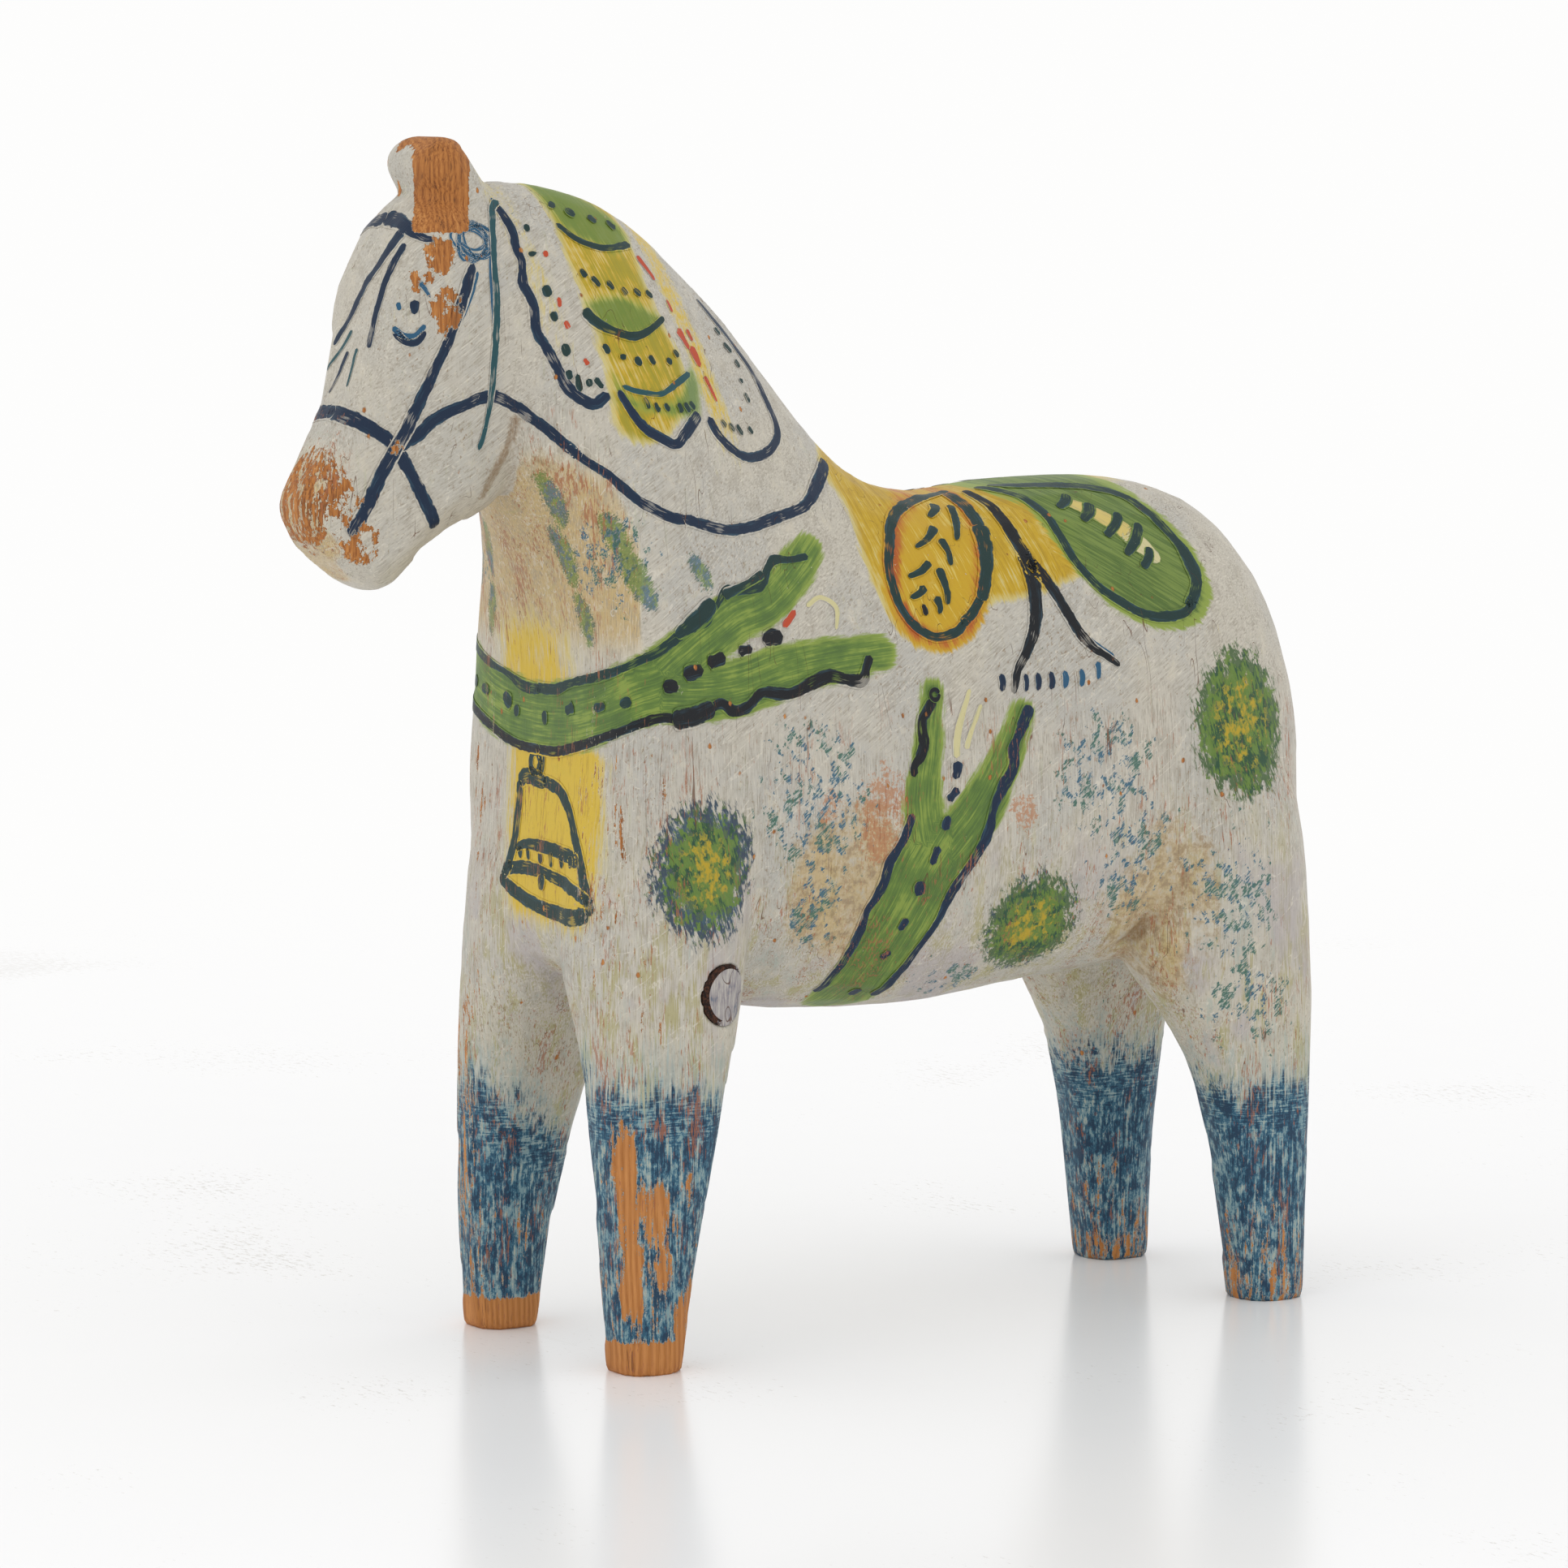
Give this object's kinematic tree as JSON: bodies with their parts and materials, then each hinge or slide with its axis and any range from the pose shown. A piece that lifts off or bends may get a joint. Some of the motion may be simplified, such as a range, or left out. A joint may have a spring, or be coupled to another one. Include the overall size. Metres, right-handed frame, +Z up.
{
  "type": "carved wooden folk horse",
  "caption": "Hand-carved pine horse standing on straight tapered legs, joined ears, thick arched neck, painted folk harness and flowers, worn to bare wood at muzzle, ears and hooves.",
  "frame": {"origin": "middle of the bounding box's underside, on the plane of the four soles", "axes": "+Z up, the horse faces -Y, its left side is +X"},
  "size_m": [0.09, 0.283, 0.3],
  "materials": {
    "painted_pine": "hand-painted warm light grey with harness and flower decoration, satin, worn to bare pine",
    "knot_wood": "dead knot end grain under thin worn paint",
    "dead_bark": "dry dark bark"
  },
  "bodies": {
    "root": {"horse_block": "painted_pine", "leg_knot": "knot_wood", "knot_bark": "dead_bark"}
  },
  "joints": []
}
